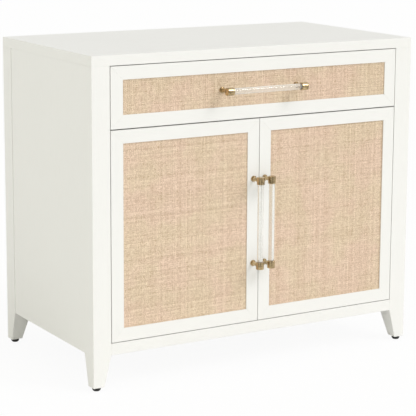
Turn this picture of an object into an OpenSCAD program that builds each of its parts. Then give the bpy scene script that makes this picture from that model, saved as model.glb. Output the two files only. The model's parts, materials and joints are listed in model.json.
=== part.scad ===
// Two-door, one-drawer cabinet: post-and-panel carcass on tapered legs, mitred fronts with
// woven raffia panels, clear pulls with brass ends, ball-bearing slides and concealed cup hinges.
// Millimetres. +X right, +Y towards the back, +Z up. The origin is on the floor, at the middle
// of the whole cabinet, pulls included. Inside the modules y = 0 is the front face of the posts.

/* [Cabinet] */
// Width across the posts
width = 965; // [900:5:1200]
// Depth of the posts and top, pulls not counted
depth = 530; // [520:5:600]
// Height from the floor to the top's upper face
height = 845; // [800:5:900]
// Thickness of the top
top_t = 26; // [20:1:32]
// Side of the square corner posts
post_w = 50; // [48:1:60]
// Side of a leg where it meets its glide
leg_foot_w = 30; // [26:1:40]
// Height from the floor to the underside of the rails and side panels
leg_h = 90; // [70:5:140]

/* [Fronts] */
// Thickness of the door and drawer frames
front_t = 19; // [18:1:20]
// Width of the mitred frame members
frame_w = 34; // [33:1:40]
// Clearance round the doors and above the drawer front
gap = 2; // [2:0.5:3]
// Clearance between the drawer front and the doors
mid_gap = 3; // [2:0.5:4]
// Height of the drawer front
drawer_front_h = 155; // [145:1:170]
// How far the raffia lies behind the frame's face
raffia_recess = 3; // [2:0.5:5]

/* [Pulls] */
// Distance between the pull's two posts
pull_span = 224; // [160:32:256]
// Radius of the clear rod
rod_r = 8; // [6:0.5:8]
// Distance from the front's face to the rod's axis
pull_stand_off = 35; // [30:1:40]
// Radius of the brass cap over each end of the rod
cap_r = 10.25; // [9.5:0.25:12]
// Distance from the cabinet's middle to each door pull
pull_from_middle = 17; // [15:0.5:20]

/* [Travel hardware] */
// Length of the drawer slides
slide_len = 450; // [350:50:450]

/* [Hidden] */
$fn = 48;
eps = 0.01;                       // how far a cutter runs past the face it opens

// Colours
paint = [0.95, 0.95, 0.93];
inside_paint = [0.90, 0.90, 0.87];
birch = [0.85, 0.74, 0.56];
raffia_tan = [0.86, 0.76, 0.63];
brass = [0.76, 0.62, 0.36];
clear = [0.88, 0.93, 0.93, 0.5];
steel = [0.72, 0.73, 0.75];
black = [0.08, 0.08, 0.08];
white_plastic = [0.93, 0.93, 0.93];

// Places shared by several pieces
half_w = width / 2;
post_in = half_w - post_w;        // inner face of the posts, from the middle
reach = pull_stand_off + cap_r;   // how far the pulls stand in front of the posts
front_y = (reach - depth) / 2;    // where the front face lies in the final frame
top_z = height - top_t;
glide_h = 10;
rail_h = 30;
rail_t = 22;

// Side and back panels
side_t = 18;
side_recess = 2;
side_in = half_w - side_recess - side_t;
board_t = 16;
back_t = 6;
back_rail_t = 20;
back_recess = 4;
back_rail_y = depth - back_recess - back_t - back_rail_t;
back_rail_h = 60;

// Fronts
door_z0 = leg_h + rail_h + gap;
drawer_z1 = top_z - gap;
drawer_z0 = drawer_z1 - drawer_front_h;
door_z1 = drawer_z0 - mid_gap;
door_h = door_z1 - door_z0;
door_w = (2 * post_in - 3 * gap) / 2;
drawer_front_w = 2 * post_in - 2 * gap;
groove_d = 3.5;                   // how far a panel runs into the frame
raffia_t = 1.2;
panel_board_t = 8;
panel_y1 = raffia_recess + raffia_t + panel_board_t;

// Divider between the drawer and the cupboard, clear of the doors' tops
behind_front = front_t + 1;
divider_rail_h = 18;
divider_rail_d = 40;
divider_clear = 2;
divider_z0 = door_z1 + divider_clear;
divider_z1 = divider_z0 + divider_rail_h;

// Drawer box
slide_t = 12.7;
box_half = post_in - slide_t;
box_t = 12;
box_y0 = front_t;
box_past_slide = 5;               // how far the box runs on behind its slides
box_y1 = box_y0 + slide_len + box_past_slide;
box_clear = 8;
box_h = 104;
box_z0 = divider_z1 + box_clear;
box_z1 = box_z0 + box_h;
box_floor_up = 12;
box_floor_z = box_z0 + box_floor_up;
box_floor_t = 6;
box_back_drop = 8;                // the box's back is lower than its sides
box_groove = 5;
drawer_mid_z = (drawer_z0 + drawer_z1) / 2;

// Slides: profile depths from the cabinet face and half heights
slide_up = 34;
slide_inset = 3;
slide_z = box_z0 + slide_up;
slide_y0 = behind_front + slide_inset;
sheet = 1.2;
outer_half = 22.5;
middle_half = 17.5;
inner_half = 12.5;
outer_flange = 9;
middle_web = 2.2;
middle_flange = 10.5;
inner_flange = 4.2;
ball_r = 1.7;
ball_x = 6.2;
ball_gap = 0.05;
cage_t = 1;
cage_w = 4.4;
cage_len = 150;
balls_per_row = 6;
outer_ball_z = (outer_half - sheet + middle_half) / 2;
inner_ball_z = (middle_half - sheet + inner_half) / 2;

// Cup hinges: places from the pivot, x away from the post and y towards the back
hinge_in = 22;                    // pivot from the door's hinge edge
hinge_back = 8.5;                 // pivot behind the door's face
cup_r = 13;
cup_edge = 3;
cup_wall = 0.8;
cup_depth = 14.5;
cup_x = hinge_in - cup_edge - cup_r;
pin_r = 1.5;
pin_len = 25;
pin_play = 0.05;
pin_relief = 0.6;
eye_r = 2.8;
arm_t = 2;
arm_h = 7;
arm_run_y = 27;                   // just outside the circle that the door's hinge edge sweeps
plate_t = 3;
plate_len = 24;
plate_h = 36;
plate_y = 14;
pivot_x = post_in - gap - hinge_in;
tail_reach = hinge_back + norm([hinge_in, max(hinge_back, front_t - hinge_back)]);
hinge_from_end = 90;
hinge_heights = [door_z0 + hinge_from_end, door_z1 - hinge_from_end];
wing_t = 1;
wing_half_h = 24;                 // how far a cup's wings reach above and below its middle
wing_half_w = 6;
wing_screw_z = 18.5;
plate_screw_z = 13;

// Pulls
cap_len = 19;
cap_bore = 13;
post_r = 5;
base_r = 8;
base_t = 2.5;
pull_screw_r = 2;
screw_head_r = 4;
screw_head_t = 2.5;
pull_thread = 9;

// Shelf and its pins
shelf_t = 18;
pin_hole_r = 2.5;
pin_hole_depth = 9;
pin_pitch = 32;
pin_rows = 5;
pin_rows_down = 74;               // lowest pin hole below the doors' middle
pin_z0 = (door_z0 + door_z1) / 2 - pin_rows_down;
shelf_row = 2;
shelf_clear = 2;
shelf_y0 = tail_reach + shelf_clear;
shelf_y1 = back_rail_y - shelf_clear;
pin_from_edge = 5;
pin_y_front = shelf_y0 + pin_from_edge;
pin_y_back = shelf_y1 - pin_from_edge;

// Wood screws
wood_screw_r = 1.75;
wood_head_r = 3.6;
wood_head_t = 2;
small_screw_r = 1.5;
small_head_r = 2.8;
small_head_t = 1.2;
slide_head_r = 2.9;               // a slide's screw heads are low, to clear the members inside
slide_head_t = 0.9;

module from_front() {
    translate([0, front_y, 0]) children();
}

module both_sides() {
    for (side = [0, 1]) mirror([side, 0, 0]) children();
}

// A rectangular block between two corners
module block(low, high) {
    translate(low) cube(high - low);
}

// A screw whose head stands on z = 0 and whose shank runs down
module screw(length, shank_r, head_r, head_t) {
    translate([0, 0, -length]) cylinder(r = shank_r, h = length + eps);
    cylinder(r1 = head_r, r2 = head_r * 0.75, h = head_t);
}

module wood_screw(length) {
    screw(length, wood_screw_r, wood_head_r, wood_head_t);
}

module shank(length, shank_r) {
    translate([0, 0, -length]) cylinder(r = shank_r, h = length);
}

// ---- Carcass ----

module top_panel() {
    color(paint) from_front() difference() {
        block([-half_w, 0, top_z], [half_w, depth, height]);
        front_top_screw_places() mirror([0, 0, 1]) shank(top_screw_bite, wood_screw_r);
        back_top_screw_places() mirror([0, 0, 1]) shank(top_screw_bite, wood_screw_r);
    }
}

// Front view of a post, from its outer face at x = 0 inwards, and the same from the side
module post_outline() {
    polygon([
        [0, glide_h], [leg_foot_w, glide_h], [post_w, leg_h], [post_w, top_z], [0, top_z]
    ]);
}

// A post at the left, its outer corner on the z axis, its tapers towards +x and +y
module post_blank() {
    intersection() {
        translate([0, post_w, 0]) rotate([90, 0, 0]) linear_extrude(post_w) post_outline();
        rotate([90, 0, 90]) linear_extrude(post_w) post_outline();
    }
}

module pin_holes(y) {
    for (row = [0 : pin_rows - 1])
        translate([post_in + pin_hole_depth, y, pin_z0 + row * pin_pitch])
            rotate([0, -90, 0]) cylinder(r = pin_hole_r, h = pin_hole_depth + 1);
}

// The right-hand front post; the left one is its mirror image
module front_post() {
    difference() {
        translate([half_w, 0, 0]) mirror([1, 0, 0]) post_blank();
        pin_holes(pin_y_front);
        hinge_plate_screw_places() shank(plate_screw_bite, wood_screw_r);
        slide_screw_places() shank(slide_screw_bite, wood_screw_r);
        glide_places() mirror([0, 0, 1]) shank(glide_screw_bite, wood_screw_r);
    }
}

module rear_post() {
    difference() {
        translate([half_w, depth, 0]) mirror([1, 0, 0]) mirror([0, 1, 0]) post_blank();
        pin_holes(pin_y_back);
        slide_screw_places() shank(slide_screw_bite, wood_screw_r);
        glide_places() mirror([0, 0, 1]) shank(glide_screw_bite, wood_screw_r);
    }
}

module front_right_post() {
    color(paint) from_front() front_post();
}

module front_left_post() {
    color(paint) from_front() mirror([1, 0, 0]) front_post();
}

module rear_right_post() {
    color(paint) from_front() rear_post();
}

module rear_left_post() {
    color(paint) from_front() mirror([1, 0, 0]) rear_post();
}

module side_panel() {
    block([side_in, post_w, leg_h], [side_in + side_t, depth - post_w, top_z]);
}

module right_side_panel() {
    color(paint) from_front() side_panel();
}

module left_side_panel() {
    color(paint) from_front() mirror([1, 0, 0]) side_panel();
}

module back_panel() {
    color(birch) from_front() difference() {
        block([-post_in, back_rail_y + back_rail_t, leg_h],
              [post_in, back_rail_y + back_rail_t + back_t, top_z]);
        back_screw_places() shank(back_screw_bite, wood_screw_r);
    }
}

module back_rail(z0, z1) {
    difference() {
        block([-post_in, back_rail_y, z0], [post_in, back_rail_y + back_rail_t, z1]);
        back_screw_places() shank(back_screw_bite, wood_screw_r);
        back_top_screw_places() shank(top_screw_len, wood_screw_r);
    }
}

module back_top_rail() {
    color(inside_paint) from_front() difference() {
        back_rail(top_z - back_rail_h, top_z);
        back_top_screw_places() translate([0, 0, -back_rail_h])
            cylinder(r = wood_head_r + counterbore_play, h = back_rail_h - top_screw_len);
    }
}

module back_bottom_rail() {
    color(inside_paint) from_front() back_rail(leg_h, leg_h + rail_h);
}

module front_bottom_rail() {
    color(paint) from_front() block([-post_in, 0, leg_h], [post_in, rail_t, leg_h + rail_h]);
}

module front_top_rail() {
    color(inside_paint) from_front() difference() {
        block([-post_in, behind_front, top_z - top_rail_h],
              [post_in, behind_front + divider_rail_d, top_z]);
        front_top_screw_places() shank(top_rail_h, wood_screw_r);
    }
}

// A board between the side panels, cut away round the four posts
module notched_board(y0, y1, z0, z1) {
    difference() {
        block([-side_in, y0, z0], [side_in, y1, z1]);
        both_sides() {
            block([post_in, y0 - 1, z0 - 1], [half_w, post_w, z1 + 1]);
            block([post_in, depth - post_w, z0 - 1], [half_w, depth, z1 + 1]);
        }
    }
}

module bottom_panel() {
    color(inside_paint) from_front()
        notched_board(rail_t, back_rail_y, leg_h + rail_h - board_t, leg_h + rail_h);
}

module divider_rail() {
    color(inside_paint) from_front() difference() {
        block([-post_in, behind_front, divider_z0], [post_in, behind_front + divider_rail_d, divider_z1]);
        catch_screw_places() mirror([0, 0, 1]) shank(catch_screw_bite + catch_h, catch_screw_r);
    }
}

module divider_panel() {
    color(inside_paint) from_front()
        notched_board(behind_front + divider_rail_d, back_rail_y,
                      divider_z1 - board_t, divider_z1);
}

module shelf() {
    shelf_z = pin_z0 + shelf_row * pin_pitch + shelf_pin_r;
    color(inside_paint) from_front()
        block([-post_in + shelf_clear, shelf_y0, shelf_z],
              [post_in - shelf_clear, shelf_y1, shelf_z + shelf_t]);
}

// A steel peg: a shank in the post's hole and a wider head under the shelf
shelf_pin_r = 3.5;
shelf_pin_head = 9;

module shelf_pins() {
    color(steel) from_front() both_sides() for (y = [pin_y_front, pin_y_back])
        translate([post_in + pin_hole_depth, y, pin_z0 + shelf_row * pin_pitch])
            rotate([0, -90, 0]) {
                cylinder(r = pin_hole_r, h = pin_hole_depth);
                translate([0, 0, pin_hole_depth]) cylinder(r = shelf_pin_r, h = shelf_pin_head);
            }
}

batten_h = 60;

module slide_battens() {
    color(inside_paint) from_front() both_sides() difference() {
        block([post_in, post_w, slide_z - batten_h / 2],
              [side_in, depth - post_w, slide_z + batten_h / 2]);
        slide_screw_places() shank(slide_screw_bite, wood_screw_r);
    }
}

// ---- Glides ----

glide_r = 11;
glide_flat_r = 8;
glide_dome_h = 2.5;
glide_side_h = 5;
glide_screw_bite = 20;
glide_counterbore = 4;
glide_head_play = 0.4;
glide_spread = leg_foot_w / 2;

// Right-hand pair of feet, z = 0 on the underside of the leg
module glide_places() {
    for (y = [glide_spread, depth - glide_spread])
        translate([half_w - glide_spread, y, glide_h]) children();
}

module glide() {
    difference() {
        rotate_extrude() polygon([
            [0, 0], [glide_flat_r, 0], [glide_r - 1, glide_dome_h], [glide_r, glide_side_h],
            [glide_r, glide_h], [0, glide_h]
        ]);
        translate([0, 0, -1]) cylinder(r = wood_screw_r, h = glide_h + 2);
        translate([0, 0, -1]) cylinder(r = wood_head_r + glide_head_play, h = glide_counterbore + 1);
    }
}

module foot_glides() {
    color(black) from_front() both_sides() glide_places() translate([0, 0, -glide_h]) glide();
}

// ---- Slides ----

module slide_profile(half_h, x0, x1, web_x) {
    translate([web_x, -half_h]) square([sheet, 2 * half_h]);
    for (z = [-half_h, half_h - sheet]) translate([x0, z]) square([x1 - x0, sheet]);
}

// Carries a profile (x from the cabinet face inwards, y up) along the slide at the right side
module along_slide(y0, y1) {
    translate([post_in, y1, slide_z]) rotate([90, 0, 0]) mirror([1, 0, 0])
        linear_extrude(y1 - y0) children();
}

module outer_slide_members() {
    color(steel) from_front() both_sides() difference() {
        along_slide(slide_y0, slide_y0 + slide_len)
            slide_profile(outer_half, 0, outer_flange, 0);
        slide_screw_places() translate([0, 0, 1]) shank(sheet + 2, wood_screw_r);
    }
}

module middle_slide_members() {
    color(steel) from_front() both_sides() along_slide(slide_y0, slide_y0 + slide_len)
        slide_profile(middle_half, middle_web, middle_flange, middle_web);
}

module inner_slide_members() {
    color(steel) from_front() both_sides() difference() {
        along_slide(slide_y0, slide_y0 + slide_len)
            slide_profile(inner_half, inner_flange, slide_t, slide_t - sheet);
        inner_slide_screw_places() translate([0, 0, 1]) shank(sheet + 2, wood_screw_r);
    }
}

// Two strips with a row of balls each, above and below the middle of the slide
module ball_cages(ball_z) {
    cage_y0 = slide_y0 + (slide_len - cage_len) / 2;
    pitch = cage_len / balls_per_row;
    both_sides() for (z = [-ball_z, ball_z]) translate([post_in - ball_x, cage_y0, slide_z + z]) {
        difference() {
            block([-cage_w / 2, 0, -cage_t / 2], [cage_w / 2, cage_len, cage_t / 2]);
            for (i = [0 : balls_per_row - 1]) translate([0, (i + 0.5) * pitch, -cage_t])
                cylinder(r = ball_r + ball_gap, h = 2 * cage_t);
        }
        for (i = [0 : balls_per_row - 1]) translate([0, (i + 0.5) * pitch, 0]) sphere(r = ball_r);
    }
}

module outer_ball_cages() {
    color(steel) from_front() ball_cages(outer_ball_z);
}

module inner_ball_cages() {
    color(steel) from_front() ball_cages(inner_ball_z);
}

// ---- Carcass screws ----

top_rail_h = 18;
counterbore_play = 0.9;
top_screw_len = 18;               // wood of a top rail under each screw's head
top_screw_bite = 14;
back_screw_bite = 20;
plate_screw_bite = 16;
slide_screw_bite = 12;
catch_screw_bite = 10;
top_screw_columns = [-0.8, -0.3, 0.3, 0.8];     // as shares of the way to the posts
back_screw_columns = [-0.9, -0.3, 0.3, 0.9];
back_screw_drop = 40;
slide_screw_inset = 12;
slide_screw_middle = 60;          // middle screws from the middle of the depth
inner_screw_inset = 30;

// Up through the front and back top rails into the top, z = 0 on the top's underside
module top_screw_row(y) {
    for (x = top_screw_columns) translate([x * post_in, y, top_z]) children();
}

module front_top_screw_places() {
    top_screw_row(behind_front + divider_rail_d / 2) children();
}

module back_top_screw_places() {
    top_screw_row(back_rail_y + back_rail_t / 2) children();
}

// Forwards through the back panel, z pointing out of the panel's rear face
module back_screw_places() {
    for (x = back_screw_columns) for (z = [leg_h + rail_h / 2, top_z - back_screw_drop])
        translate([x * post_in, back_rail_y + back_rail_t + back_t, z]) rotate([-90, 0, 0]) children();
}

// Into the right-hand front post, z pointing out of the hinge plate
module hinge_plate_screw_places() {
    for (z = hinge_heights) for (dz = [-plate_screw_z, plate_screw_z])
        translate([post_in - plate_t, hinge_back + plate_y + plate_len / 2, z + dz])
            rotate([0, -90, 0]) children();
}

// Into the right-hand posts and batten, z pointing out of the outer slide member's web
module slide_screw_places() {
    for (y = [slide_y0 + slide_screw_inset, depth / 2 - slide_screw_middle,
              depth / 2 + slide_screw_middle])
        translate([post_in - sheet, y, slide_z]) rotate([0, -90, 0]) children();
}

// Into the right-hand drawer side, z pointing away from the drawer
module inner_slide_screw_places() {
    for (y = [slide_y0 + inner_screw_inset, slide_y0 + slide_len / 2,
              slide_y0 + slide_len - inner_screw_inset])
        translate([box_half + sheet, y, slide_z]) rotate([0, 90, 0]) children();
}

module cabinet_screws() {
    color(steel) from_front() {
        front_top_screw_places() translate([0, 0, -top_rail_h])
            mirror([0, 0, 1]) wood_screw(top_rail_h + top_screw_bite);
        back_top_screw_places() translate([0, 0, -top_screw_len])
            mirror([0, 0, 1]) wood_screw(top_screw_len + top_screw_bite);
        back_screw_places() wood_screw(back_screw_bite);
        both_sides() {
            hinge_plate_screw_places() wood_screw(plate_screw_bite);
            slide_screw_places() screw(slide_screw_bite, wood_screw_r, slide_head_r, slide_head_t);
            glide_places() translate([0, 0, -glide_h + glide_counterbore]) mirror([0, 0, 1])
                wood_screw(glide_screw_bite + glide_h - glide_counterbore);
        }
        catch_screw_places() mirror([0, 0, 1])
            screw(catch_screw_bite + catch_h, catch_screw_r, small_head_r, small_head_t);
    }
}

// ---- Door catch ----

catch_h = 22;
catch_w = 46;
catch_d = 16;
catch_screw_x = 18;
catch_screw_r = 1.5;
strike_r = 6.5;
magnet_x0 = 4;
magnet_w = 10;
magnet_inset = 4;
strike_t = 1.2;
strike_gap = 0.3;
catch_y0 = front_t + strike_t + strike_gap;
catch_z0 = divider_z0 - catch_h;

// Up into the divider rail, z = 0 on the catch's underside
module catch_screw_places() {
    for (x = [-catch_screw_x, catch_screw_x])
        translate([x, catch_y0 + catch_d / 2, catch_z0]) children();
}

// A plastic body with a steel-faced magnet for each door
module magnetic_catch() {
    color(white_plastic) from_front() difference() {
        block([-catch_w / 2, catch_y0, catch_z0], [catch_w / 2, catch_y0 + catch_d, divider_z0]);
        catch_screw_places() translate([0, 0, -1]) cylinder(r = catch_screw_r, h = catch_h + 2);
        both_sides() block([magnet_x0, catch_y0 - 1, catch_z0 + magnet_inset],
                           [magnet_x0 + magnet_w, catch_y0 + 1, divider_z0 - magnet_inset]);
    }
}

// ---- Hinges ----

// Puts children at the pivot of the right-hand hinges: x towards the post, y towards the back
module hinge_places() {
    for (z = hinge_heights) translate([pivot_x, hinge_back, z]) children();
}

module hinge_plates() {
    color(steel) from_front() both_sides() difference() {
        hinge_places() block([hinge_in + gap - plate_t, plate_y, -plate_h / 2],
                             [hinge_in + gap, plate_y + plate_len, plate_h / 2]);
        hinge_plate_screw_places() translate([0, 0, 1]) shank(plate_t + 2, wood_screw_r);
    }
}

// Outline of the arm from above, without its eye: it leaves the cup, clears the door's edge when
// the door is open and lies on the plate
module arm_outline() {
    run_x = hinge_in + gap - plate_t - arm_t / 2;
    bent_strip([[0, 0], [-4, 14], [-12.5, 13.5], [-17, 17.5], [-17, arm_run_y],
                [run_x, arm_run_y], [run_x, plate_y + plate_len]], arm_t);
}

function unit(v) = v / norm(v);

// From a point of a bent line to the corner on its left, for a strip one unit to each side
function corner(points, i) =
    let (last = len(points) - 1,
         before = unit(points[max(i, 1)] - points[max(i, 1) - 1]),
         after = unit(points[min(i + 1, last)] - points[min(i, last - 1)]),
         across = before + after)
    [-across[1], across[0]] / (1 + before * after);

// A strip of even width along points
module bent_strip(points, strip_w) {
    ends = [0 : len(points) - 1];
    polygon(concat([for (i = ends) points[i] + corner(points, i) * strip_w / 2],
                   [for (i = ends) let (j = len(points) - 1 - i)
                        points[j] - corner(points, j) * strip_w / 2]));
}

module hinge_arm() {
    difference() {
        translate([0, 0, -arm_h / 2]) linear_extrude(arm_h) {
            arm_outline();
            circle(r = eye_r);
        }
        translate([0, 0, -arm_h]) cylinder(r = pin_r, h = 2 * arm_h);
    }
}

module hinge_arms() {
    color(steel) from_front() both_sides() hinge_places() hinge_arm();
}

module hinge_pins() {
    color(steel) from_front() both_sides() hinge_places()
        translate([0, 0, -pin_len / 2]) cylinder(r = pin_r, h = pin_len);
}

// A drawn cup with a wing above and below; it opens towards the back of the door
module hinge_cup() {
    mouth_y = front_t - hinge_back;
    difference() {
        union() {
            translate([cup_x, mouth_y, 0]) rotate([90, 0, 0]) cylinder(r = cup_r, h = cup_depth);
            block([cup_x - wing_half_w, mouth_y, -wing_half_h],
                  [cup_x + wing_half_w, mouth_y + wing_t, wing_half_h]);
        }
        translate([cup_x, mouth_y + 2 * wing_t, 0]) rotate([90, 0, 0])
            cylinder(r = cup_r - cup_wall, h = cup_depth - cup_wall + 2 * wing_t);
        translate([0, 0, -cup_r - 1]) cylinder(r = pin_r + pin_play, h = 2 * cup_r + 2);
    }
}

// Places of the screws in the cups' wings, z pointing out of the wing
module cup_screw_places() {
    for (z = hinge_heights) for (dz = [-wing_screw_z, wing_screw_z])
        translate([pivot_x + cup_x, front_t + wing_t, z + dz]) rotate([-90, 0, 0]) children();
}

// ---- Mitred frames ----

// A rail along x at the bottom of a frame w wide, with its groove on the upper side
module mitred_rail(w) {
    difference() {
        translate([0, front_t, 0]) rotate([90, 0, 0]) linear_extrude(front_t)
            polygon([[-w / 2, 0], [w / 2, 0], [w / 2 - frame_w, frame_w], [-w / 2 + frame_w, frame_w]]);
        block([-w / 2, raffia_recess, frame_w - groove_d], [w / 2, panel_y1, frame_w + 1]);
    }
}

// Rails at the bottom and top of a frame w wide and h high, its middle at x = 0 and its foot at z = 0
module frame_rails(w, h) {
    mitred_rail(w);
    translate([0, 0, h]) mirror([0, 0, 1]) mitred_rail(w);
}

// The stile at the right of the same frame
module frame_stile(w, h) {
    translate([w / 2, 0, h / 2]) rotate([0, -90, 0]) mitred_rail(h);
}

// The panel in the frame's grooves, between two depths
module frame_panel(w, h, y0, y1) {
    inset = frame_w - groove_d;
    block([-w / 2 + inset, y0, inset], [w / 2 - inset, y1, h - inset]);
}

// ---- Pulls ----

// Puts children at the middle of a pull that lies along z, on the face y = 0
module pull_ends() {
    for (end = [0, 1]) mirror([0, 0, end]) translate([0, 0, pull_span / 2]) children();
}

// One brass end: base, post and a cap with a blind bore for the rod
module pull_end(base_y) {
    difference() {
        union() {
            translate([0, base_y, 0]) rotate([90, 0, 0]) cylinder(r = base_r, h = base_t);
            translate([0, base_y, 0]) rotate([90, 0, 0]) cylinder(r = post_r, h = base_y + pull_stand_off);
            translate([0, -pull_stand_off, -cap_len / 2]) cylinder(r = cap_r, h = cap_len);
        }
        translate([0, -pull_stand_off, -cap_len / 2 - 1]) cylinder(r = rod_r, h = cap_bore + 1);
        translate([0, base_y + 1, 0]) rotate([90, 0, 0]) cylinder(r = pull_screw_r, h = pull_thread + 1);
    }
}

module pull_rod() {
    rod_len = pull_span - cap_len + 2 * cap_bore;
    translate([0, -pull_stand_off, -rod_len / 2]) cylinder(r = rod_r, h = rod_len);
}

// Hole for a pull screw through a front from y0 to y1
module pull_holes(y0, y1) {
    pull_ends() translate([0, y1 + 1, 0]) rotate([90, 0, 0])
        cylinder(r = pull_screw_r, h = y1 - y0 + 2);
}

// A screw through the front with its head behind it
module pull_screws(base_y, head_y) {
    pull_ends() translate([0, head_y, 0]) rotate([-90, 0, 0])
        screw(head_y - base_y + pull_thread, pull_screw_r, screw_head_r, screw_head_t);
}

// ---- Drawer ----

module at_drawer_pull() {
    translate([0, 0, drawer_mid_z]) rotate([0, 90, 0]) children();
}

module drawer_front_rails() {
    color(paint) from_front() translate([0, 0, drawer_z0]) frame_rails(drawer_front_w, drawer_front_h);
}

module drawer_front_stiles() {
    color(paint) from_front() translate([0, 0, drawer_z0])
        both_sides() frame_stile(drawer_front_w, drawer_front_h);
}

module drawer_front_board() {
    color(birch) from_front() difference() {
        translate([0, 0, drawer_z0])
            frame_panel(drawer_front_w, drawer_front_h, raffia_recess + raffia_t, panel_y1);
        at_drawer_pull() pull_holes(0, panel_y1);
    }
}

module drawer_front_raffia() {
    color(raffia_tan) from_front() difference() {
        translate([0, 0, drawer_z0])
            frame_panel(drawer_front_w, drawer_front_h, raffia_recess, raffia_recess + raffia_t);
        at_drawer_pull() pull_holes(0, panel_y1);
    }
}

// The drawer's inner front, which the outer front is screwed to
module drawer_box_front() {
    color(birch) from_front() difference() {
        block([-box_half + box_t, box_y0, box_z0], [box_half - box_t, box_y0 + box_t, box_z1]);
        box_floor_groove();
        at_drawer_pull() pull_holes(box_y0, box_y0 + box_t);
        front_screw_places() shank(front_screw_bite, wood_screw_r);
    }
}

module drawer_box_back() {
    color(birch) from_front()
        block([-box_half + box_t, box_y1 - box_t, box_floor_z + box_floor_t],
              [box_half - box_t, box_y1, box_z1 - box_back_drop]);
}

// The floor's space, which runs into grooves in the sides and inner front and under the back
module box_floor_groove() {
    inset = box_t - box_groove;
    block([-box_half + inset, box_y0 + inset, box_floor_z],
          [box_half - inset, box_y1, box_floor_z + box_floor_t]);
}

module drawer_bottom() {
    color(birch) from_front() box_floor_groove();
}

module drawer_sides() {
    color(birch) from_front() both_sides() difference() {
        block([box_half - box_t, box_y0, box_z0], [box_half, box_y1, box_z1]);
        box_floor_groove();
        inner_slide_screw_places() shank(inner_slide_screw_bite + sheet, wood_screw_r);
    }
}

inner_slide_screw_bite = 9;
front_screw_bite = 12;
front_screw_up = 50;              // lower screws above the front's lower edge
front_screw_down = 40;            // upper screws below its upper edge

// Screws from inside the drawer into the stiles of its front, z pointing backwards
module front_screw_places() {
    for (x = [-1, 1]) for (z = [drawer_z0 + front_screw_up, drawer_z1 - front_screw_down])
        translate([x * (box_half - 2 * box_t), box_y0 + box_t, z]) rotate([-90, 0, 0]) children();
}

module drawer_handle_ends() {
    color(brass) from_front() at_drawer_pull() pull_ends() pull_end(raffia_recess);
}

module drawer_handle_rod() {
    color(clear) from_front() at_drawer_pull() pull_rod();
}

module drawer_screws() {
    color(steel) from_front() {
        at_drawer_pull() pull_screws(raffia_recess, box_y0 + box_t);
        front_screw_places() wood_screw(front_screw_bite);
        both_sides() inner_slide_screw_places()
            screw(inner_slide_screw_bite + sheet, wood_screw_r, slide_head_r, slide_head_t);
    }
}

// ---- Doors, drawn at the right and mirrored for the left ----

// Puts a frame drawn about x = 0 with its foot at z = 0 in the right-hand door's place
module at_door() {
    translate([gap / 2 + door_w / 2, 0, door_z0]) children();
}

module at_door_pull() {
    translate([pull_from_middle, 0, (door_z0 + door_z1) / 2]) children();
}

module hinge_stile() {
    difference() {
        at_door() frame_stile(door_w, door_h);
        hinge_places() {
            translate([cup_x, front_t - hinge_back + 1, 0]) rotate([90, 0, 0])
                cylinder(r = cup_r, h = cup_depth + 1);
            translate([0, 0, -pin_len / 2 - pin_relief])
                cylinder(r = pin_r + pin_relief, h = pin_len + 2 * pin_relief);
        }
        cup_screw_places() shank(cup_screw_bite + wing_t, small_screw_r);
    }
}

cup_screw_bite = 10;

module meeting_stile() {
    difference() {
        at_door() mirror([1, 0, 0]) frame_stile(door_w, door_h);
        at_door_pull() pull_holes(0, front_t);
        strike_screw_place() shank(strike_screw_bite, small_screw_r);
    }
}

module door_rails() {
    at_door() frame_rails(door_w, door_h);
}

module door_board() {
    at_door() frame_panel(door_w, door_h, raffia_recess + raffia_t, panel_y1);
}

module door_raffia() {
    at_door() frame_panel(door_w, door_h, raffia_recess, raffia_recess + raffia_t);
}

module door_hinge_cups() {
    difference() {
        hinge_places() hinge_cup();
        cup_screw_places() translate([0, 0, 1]) shank(wing_t + 2, small_screw_r);
    }
}

module door_handle_ends() {
    at_door_pull() pull_ends() pull_end(0);
}

module door_handle_rod() {
    at_door_pull() pull_rod();
}

strike_screw_bite = 10;
strike_drop = 12;
strike_z = door_z1 - strike_drop;

// In the meeting stile behind the catch, z pointing backwards
module strike_screw_place() {
    translate([magnet_x0 + magnet_w / 2, front_t, strike_z]) rotate([-90, 0, 0]) children();
}

module door_strike_plate() {
    difference() {
        strike_screw_place() cylinder(r = strike_r, h = strike_t);
        strike_screw_place() translate([0, 0, -1]) cylinder(r = small_screw_r, h = strike_t + 2);
    }
}

module door_screws() {
    at_door_pull() pull_screws(0, front_t);
    cup_screw_places() screw(cup_screw_bite + wing_t, small_screw_r, small_head_r, small_head_t);
    strike_screw_place() translate([0, 0, strike_t]) shank(strike_screw_bite + strike_t, small_screw_r);
}

module right_hand() {
    from_front() children();
}

module left_hand() {
    from_front() mirror([1, 0, 0]) children();
}

top_panel();
front_left_post();
front_right_post();
rear_left_post();
rear_right_post();
left_side_panel();
right_side_panel();
back_panel();
back_top_rail();
back_bottom_rail();
front_bottom_rail();
front_top_rail();
bottom_panel();
divider_rail();
divider_panel();
shelf();
shelf_pins();
slide_battens();
foot_glides();
outer_slide_members();
hinge_plates();
hinge_arms();
hinge_pins();
magnetic_catch();
cabinet_screws();
drawer_front_rails();
drawer_front_stiles();
drawer_front_board();
drawer_front_raffia();
drawer_box_front();
drawer_box_back();
drawer_sides();
drawer_bottom();
inner_slide_members();
drawer_handle_ends();
drawer_handle_rod();
drawer_screws();
middle_slide_members();
outer_ball_cages();
inner_ball_cages();
color(paint) left_hand() hinge_stile();  // left_door_hinge_stile
color(paint) left_hand() meeting_stile();  // left_door_meeting_stile
color(paint) left_hand() door_rails();  // left_door_rails
color(birch) left_hand() door_board();  // left_door_board
color(raffia_tan) left_hand() door_raffia();  // left_door_raffia
color(steel) left_hand() door_hinge_cups();  // left_door_hinge_cups
color(brass) left_hand() door_handle_ends();  // left_door_handle_ends
color(clear) left_hand() door_handle_rod();  // left_door_handle_rod
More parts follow.
